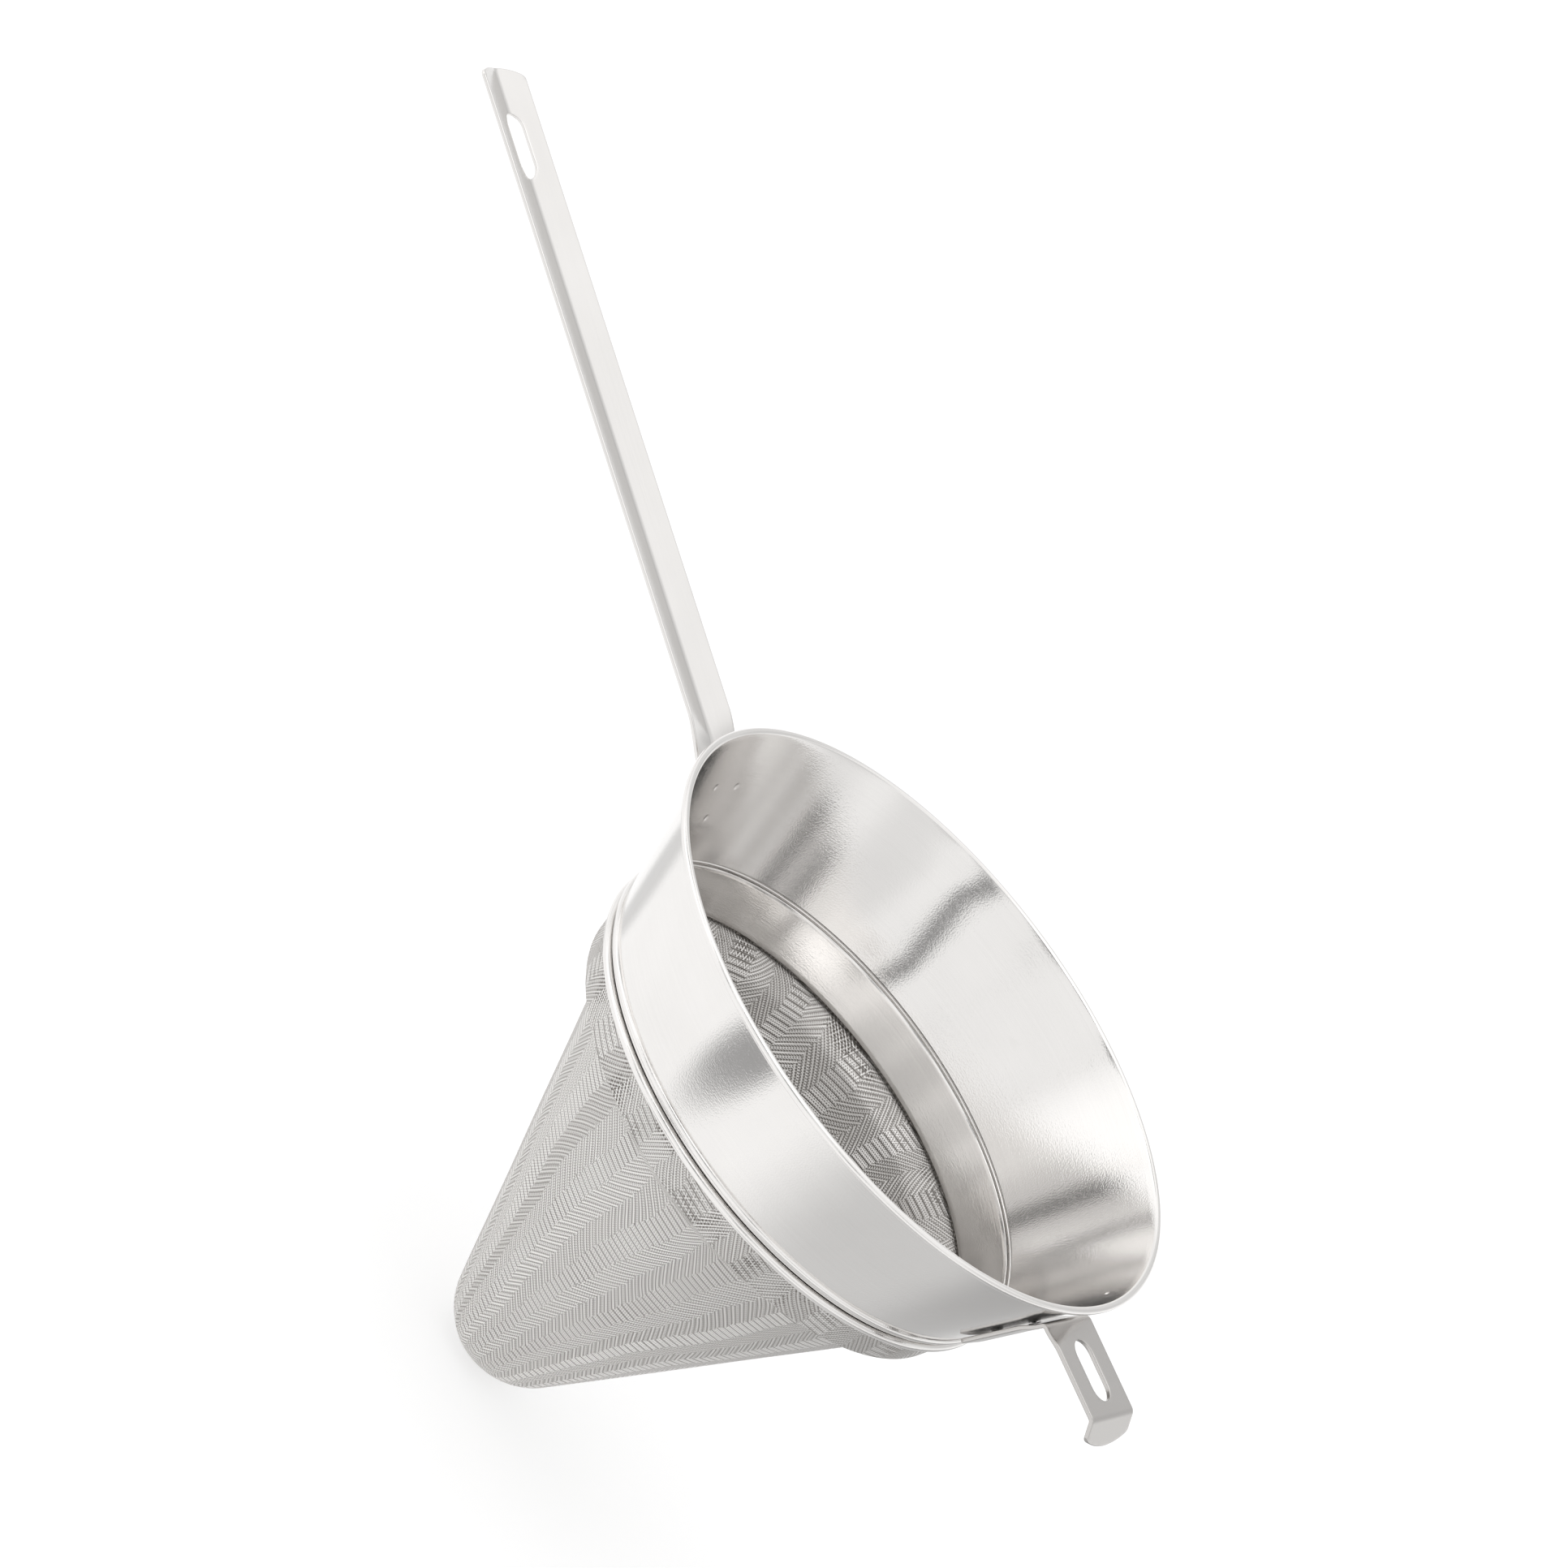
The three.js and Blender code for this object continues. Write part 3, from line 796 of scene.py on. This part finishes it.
def make_hook():
    up_wall = np.array([math.sin(TAPER), math.cos(TAPER)])
    offset = SHEET / 2 + STANDOFF + HOOK_SHEET / 2
    corner = np.array([wall_r(HOOK_ARM_Z, offset), HOOK_ARM_Z])
    turn = math.pi / 2 - TAPER + HOOK_DROOP
    setback = HOOK_BEND * math.tan(turn / 2)
    lip_turn = math.pi / 2 - HOOK_LEAN - HOOK_DROOP
    lip_setback = HOOK_BEND * math.tan(lip_turn / 2)
    path = Path(corner - up_wall * HOOK_FOOT, math.pi / 2 - TAPER)
    path.go(HOOK_FOOT - setback)
    bend_start = path.length
    path.go(HOOK_BEND * turn, -turn)
    bend_end = path.length
    path.go(HOOK_ARM - setback - lip_setback)
    lip_start = path.length
    path.go(HOOK_BEND * lip_turn, -lip_turn)
    lip_end = path.length
    path.go(HOOK_LIP - lip_setback + HOOK_LIP_BULGE)
    end = lip_end + HOOK_LIP - lip_setback

    def lift(u, v):
        """The near corner of the arm is pressed down beside the root, up to a slanting crease."""
        beside = (u - bend_end) + CREASE_SLANT * (v + HOOK_HALF) - CREASE_REACH
        pressed = CREASE_DEPTH * smooth_step(0, CREASE_REACH, -beside)
        pressed = pressed * smooth_step(bend_start, bend_end, u)
        return hug(v) * (1 - smooth_step(bend_start - 10, bend_start - 2, u)) - pressed

    u_list = spaced(0, bend_start - 0.4, 2.0) + spaced(bend_start, bend_end, 0.3)
    u_list += spaced(bend_end + 0.5, lip_start - 0.5, 1.6) + spaced(lip_start, lip_end, 0.3)
    u_list += spaced(lip_end + 0.5, end + HOOK_LIP_BULGE, 1.2)
    v_list = list(np.linspace(-HOOK_HALF, HOOK_HALF, 27))
    width, long, from_corner = HOOK_SLOT
    slot = (width, long, bend_end - setback + from_corner)
    loops = [
        strip_loop(u_list, end, HOOK_HALF, HOOK_LIP_BULGE, *HOOK_CORNERS),
        slot_loop(slot[2], long, width),
    ]
    inside = plate_test(end, HOOK_HALF, HOOK_LIP_BULGE, slot)
    surface = bent_surface(path, lift, True)
    return plate("hook_strip", loops, inside, u_list, v_list, HOOK_SHEET, HOOK_EDGE, surface)


def make_weld(name, z, y, side):
    """A spot weld's nugget, in the gap between the collar and the plate."""
    axis = Vector((side * math.cos(TAPER), 0, -math.sin(TAPER)))
    turn = axis.to_track_quat("Z", "Y").to_matrix()
    gap_r = wall_r(z, SHEET / 2 + STANDOFF / 2)
    centre = Vector((side * gap_r, y, z))
    nugget = [(0, -WELD_T / 2), (WELD_R - 0.1, -WELD_T / 2), (WELD_R, -WELD_T / 2 + 0.1)]
    nugget += [(WELD_R, WELD_T / 2 - 0.1), (WELD_R - 0.1, WELD_T / 2), (0, WELD_T / 2)]
    obj = lathe(name, nugget, even_angles(32))
    obj.data.transform(Matrix.Translation(centre * MM) @ turn.to_4x4())
    return obj


steel_wall = metal(
    "satin_collar_steel",
    0.83,
    0.79,
    (0.06, 0.11),
    round_lines,
    grain=0.00003,
    wear=0.15,
    metallic=0.93,
)
steel_band = metal("satin_band_steel", 0.86, 0.80, (0.07, 0.13), round_lines, wear=0.2)
steel_strip = metal(
    "polished_strip_steel", 0.77, 0.73, (0.10, 0.18), long_lines, 0.000006, 0.000004, 0.05
)
# The hook's strip steel has a darker base colour than the handle's: painted shade, besides its
# brushing across the strip.
hook_steel_painted_darker = metal(
    "brushed_hook_steel_painted_shade", 0.55, 0.53, (0.22, 0.27), cross_lines, 0.000004, 0.000001, 0.05
)
steel_wire = metal("drawn_wire_steel", 0.74, 0.66, (0.28, 0.38), round_lines)
steel_weld = metal("fused_weld_steel", 0.6, 0.45, (0.35, 0.5), round_lines, grain=0.00006)
cloth = woven("woven_wire_cloth")

place(make_collar(), "collar", "collar_steel", steel_wall)
place(make_rim_wire(), "rim_wire", "wire_steel", steel_wire)
place(make_band(), "inner_band", "band_steel", steel_band)
place(make_hoop(), "clamp_hoop", "collar_steel", steel_wall)
place(make_mesh(), "mesh_cone", "woven_mesh", cloth)
place(make_handle(), "handle", "strip_steel", steel_strip)
place(make_hook(), "pot_hook", "strip_steel", hook_steel_painted_darker)
for number, (z, y) in enumerate(HANDLE_WELDS, 1):
    weld = make_weld(f"handle_spot_{number}", z, y, 1)
    place(weld, f"handle_weld_{number}", "weld_steel", steel_weld)
for number, (z, y) in enumerate(HOOK_WELDS, 1):
    weld = make_weld(f"hook_spot_{number}", z, y, -1)
    place(weld, f"hook_weld_{number}", "weld_steel", steel_weld)


# ---------------------------------------------------------------- stage
def stage_plane(name, corners, mat):
    mesh = bpy.data.meshes.new(name)
    mesh.from_pydata(corners, [], [tuple(range(len(corners)))])
    obj = bpy.data.objects.new(name, mesh)
    bpy.context.scene.collection.objects.link(obj)
    obj.data.materials.append(mat)
    return obj


def floor_material():
    mat, n, out = new_material("pale_floor")
    bsdf = n.new("ShaderNodeBsdfPrincipled")
    bsdf.inputs["Base Color"].default_value = (0.45, 0.45, 0.45, 1)
    bsdf.inputs["Roughness"].default_value = 0.9
    bsdf.inputs["Specular IOR Level"].default_value = 0.0
    bsdf.inputs["Emission Color"].default_value = (1, 1, 1, 1)
    bsdf.inputs["Emission Strength"].default_value = 0.62
    n.put(out.inputs["Surface"], bsdf.outputs[0])
    return mat


FLOOR_GAP = 0.0002  # metres, like all lengths of the stage
FLOOR_HALF = 6.0
floor_z = cad_box[0][2] - FLOOR_GAP


def square(half, z):
    return [(-half, -half, z), (half, -half, z), (half, half, z), (-half, half, z)]


stage_plane("floor", square(FLOOR_HALF, floor_z), floor_material())


def card(name, centre, size, turn, level, height=0.004):
    """Soft-edged grey card that lies flat and is seen only in the steel."""
    mat, n, out = new_material(name + "_grey")
    glow = n.new("ShaderNodeEmission")
    clear = n.new("ShaderNodeBsdfTransparent")
    blend = n.new("ShaderNodeMixShader")
    glow.inputs["Color"].default_value = (level, level, level, 1)
    x, y, _ = n.split(n.new("ShaderNodeTexCoord").outputs["Object"])
    away = n.math("SQRT", n.math("ADD", n.math("POWER", x, 2.0), n.math("POWER", y, 2.0)))
    n.put(blend.inputs[0], n.smooth(away, 0.45, 1.0, 1.0, 0.0))
    n.put(blend.inputs[1], clear.outputs[0])
    n.put(blend.inputs[2], glow.outputs[0])
    n.put(out.inputs["Surface"], blend.outputs[0])
    obj = stage_plane(name, square(1, 0), mat)
    obj.location = (centre[0], centre[1], floor_z + height)
    obj.scale = (size[0], size[1], 1)
    obj.rotation_euler = (0, 0, math.radians(turn))
    obj.visible_camera = obj.visible_diffuse = obj.visible_shadow = False


card("grey_side_card", (-0.55, -0.25), (0.62, 0.55), 20, 0.42)
card("small_card", (0.046, 0.222), (0.070, 0.036), -30, 0.36, 0.006)
card("far_card", (0.29, -0.10), (0.10, 0.07), 0, 0.75, 0.006)
card("mid_card", (-0.30, 0.12), (0.26, 0.24), 0, 0.66, 0.005)


def studio():
    """Soft pale surroundings, brighter overhead, with soft dark and bright places for the steel to
    mirror."""
    world = bpy.data.worlds.new("studio")
    bpy.context.scene.world = world
    world.use_nodes = True
    n = Nodes(world.node_tree)
    out = n.new("ShaderNodeOutputWorld")
    background = n.new("ShaderNodeBackground")
    direction = n.new("ShaderNodeTexCoord").outputs["Generated"]
    _, _, height = n.split(direction)
    level = n.spread(height, -0.1, 0.8, 1.0, 1.05)
    for azimuth, elevation, reach, dark in LOBES:
        a, e = math.radians(azimuth), math.radians(elevation)
        towards = (math.cos(e) * math.cos(a), math.cos(e) * math.sin(a), math.sin(e))
        dot = n.new("ShaderNodeVectorMath", operation="DOT_PRODUCT")
        n.put(dot.inputs[0], direction)
        dot.inputs[1].default_value = towards
        near = math.cos(math.radians(reach))
        near_full = math.cos(math.radians(reach * LOBE_CORE))
        lobe = n.smooth(dot.outputs["Value"], near, near_full, 1.0, dark)
        level = n.math("MULTIPLY", level, lobe)
    n.put(background.inputs["Color"], n.vector(level, level, level))
    n.put(out.inputs["Surface"], background.outputs[0])


# azimuth, elevation, reach in degrees, and how bright the middle is beside its surroundings
LOBES = (
    (96, 32, 8, 0.22),
    (97, 30, 13, 0.42),
    (70, 43.5, 10, 0.12),
    (82, 39, 7, 0.60),
    (77, 27.5, 6.5, 0.70),
    (112, 35, 11, 0.80),
    (129, 29, 13, 0.58),
    (150, 24, 9, 0.75),
    (160, 18, 18, 0.85),
    (126, 15.5, 6, 0.24),
    (-84, 16, 9, 0.66),
    (-65, 27, 26, 0.75),
    (-110, 27, 28, 0.68),
    (-158, 24, 26, 0.75),
    (-10, 40, 12, 0.5),
    (54, 22.5, 7.5, 0.15),
    (42, 37, 9, 0.55),
    (18, 38, 9, 0.6),
    (18, 12, 42, 1.25),
    (20, 24, 14, 1.12),
    (0, 62, 55, 1.2),
)
LOBE_CORE = 0.2  # share of a lobe's reach that is fully dark or bright
studio()


def area_light(name, place_at, aim, size, power):
    data = bpy.data.lights.new(name, "AREA")
    data.energy = power
    data.shape = "DISK"
    data.size = size
    obj = bpy.data.objects.new(name, data)
    bpy.context.scene.collection.objects.link(obj)
    obj.location = place_at
    obj.rotation_euler = (Vector(aim) - Vector(place_at)).to_track_quat("-Z", "Y").to_euler()


area_light("overhead_soft", (0.3, 0.6, 2.2), aim=(0, 0, -0.1), size=1.6, power=4)

# Camera at the object's viewing angle, rolled as it was held
CAMERA_AT = (-0.501553, 2.144601, 1.021069)
CAMERA_LENS = 149.07
CAMERA_SHIFT = (-0.00114, -0.00031)
camera_data = bpy.data.cameras.new("camera")
camera = bpy.data.objects.new("camera", camera_data)
bpy.context.scene.collection.objects.link(camera)
right = Vector((-0.49836971, -0.48398835, 0.71929334))
down = Vector((-0.83093562, 0.02996287, -0.55556118))
ahead = Vector((0.24733305, -0.87456132, -0.41709575))
turned = Matrix((right, -down, -ahead)).transposed()
camera.matrix_world = Matrix.Translation(CAMERA_AT) @ turned.to_4x4()
camera_data.sensor_width = 36
camera_data.lens = CAMERA_LENS
camera_data.shift_x, camera_data.shift_y = CAMERA_SHIFT
camera_data.clip_end = 50
bpy.context.scene.camera = camera
bpy.context.scene.view_settings.view_transform = "Standard"
